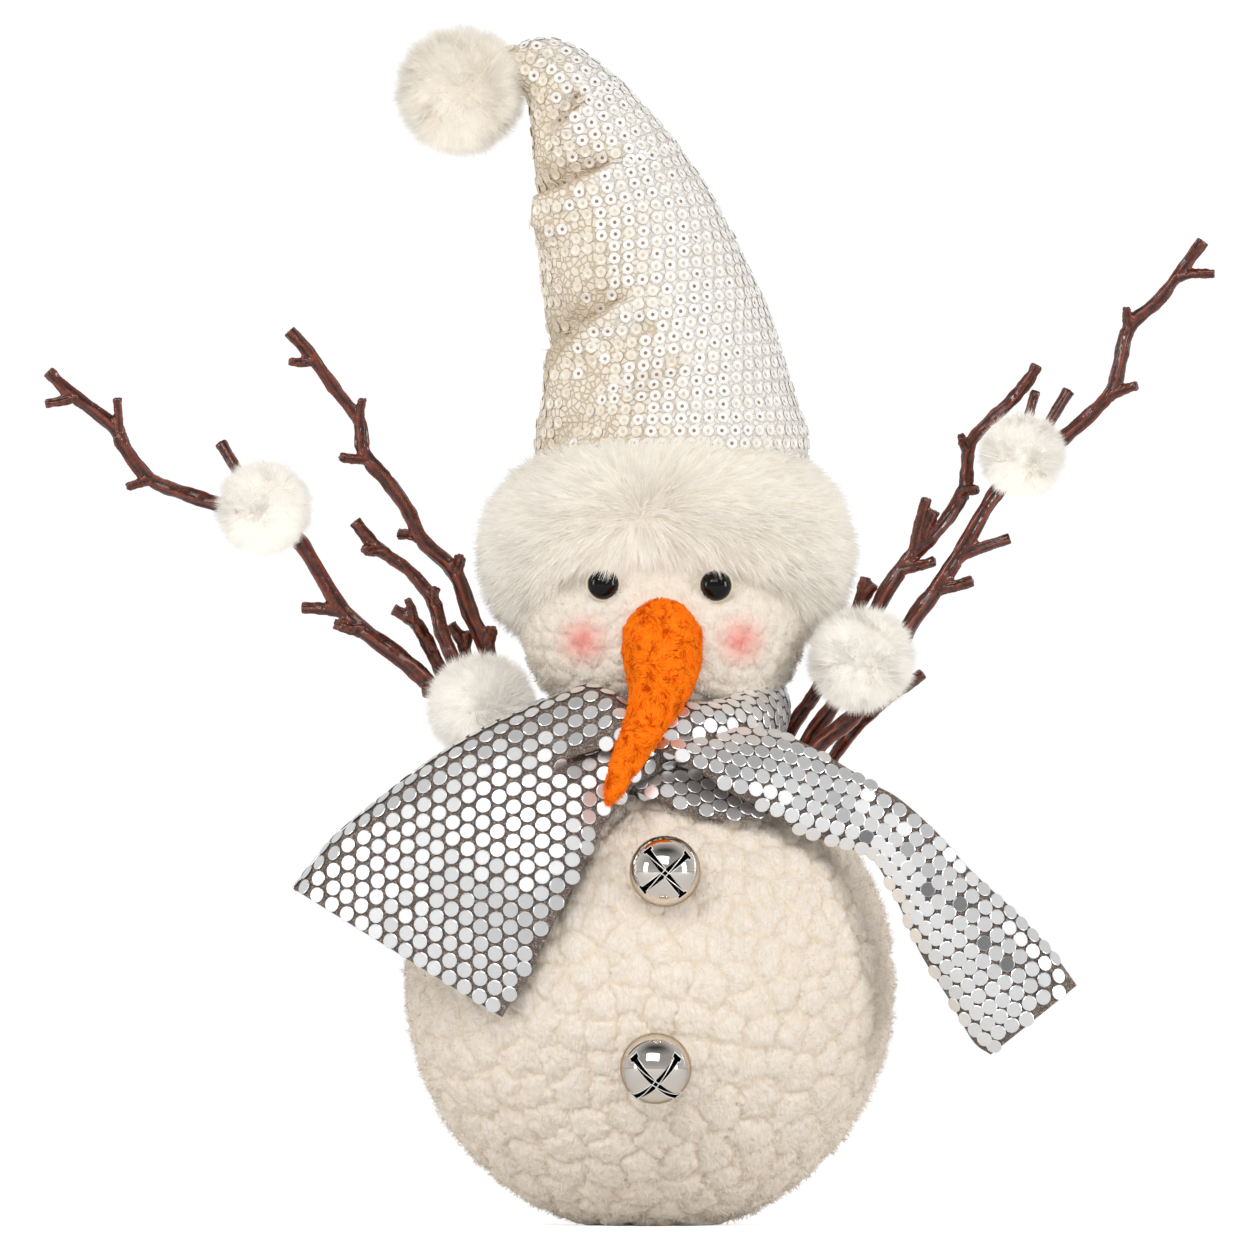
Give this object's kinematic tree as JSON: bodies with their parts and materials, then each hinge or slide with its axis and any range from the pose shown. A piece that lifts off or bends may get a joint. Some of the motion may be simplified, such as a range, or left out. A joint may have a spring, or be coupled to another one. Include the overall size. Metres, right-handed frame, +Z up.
{
  "type": "plush snowman decoration",
  "caption": "Stuffed bouclé snowman with a carrot nose, a sequin hat with a fur cuff, a sequin scarf, jingle bells and twig arms with pompoms.",
  "frame": {"origin": "centre of the flat base that the snowman stands on", "axes": "+Z up, the face looks along -Y, +X is the snowman's left hand (the viewer's right)"},
  "size_m": [0.3904, 0.1712, 0.3989],
  "materials": {
    "boucle": "cream looped pile",
    "felt": "needle-felted orange wool",
    "black_gloss": "gloss",
    "hat_sequin": "ivory knit with small ring sequins",
    "fur": "white fur pile",
    "scarf_sequin": "silver sequins on taupe mesh",
    "chrome": "polished",
    "twig": "gloss, ridged like bark"
  },
  "bodies": {
    "root": {"body": "boucle", "head": "boucle", "nose": "felt", "eye_left": "black_gloss", "eye_right": "black_gloss", "hat": "hat_sequin", "hat_brim": "fur", "hat_pompom": "fur", "scarf": "scarf_sequin", "bell_upper": "chrome", "bell_lower": "chrome", "bell_pea_upper": "chrome", "bell_pea_lower": "chrome", "pompom_left_outer": "fur", "pompom_left_inner": "fur", "pompom_right_outer": "fur", "pompom_right_inner": "fur", "twig_left_1": "twig", "twig_left_2": "twig", "twig_left_3": "twig", "twig_left_4": "twig", "twig_left_5": "twig", "twig_right_1": "twig", "twig_right_2": "twig", "twig_right_3": "twig", "twig_right_4": "twig"}
  },
  "joints": []
}
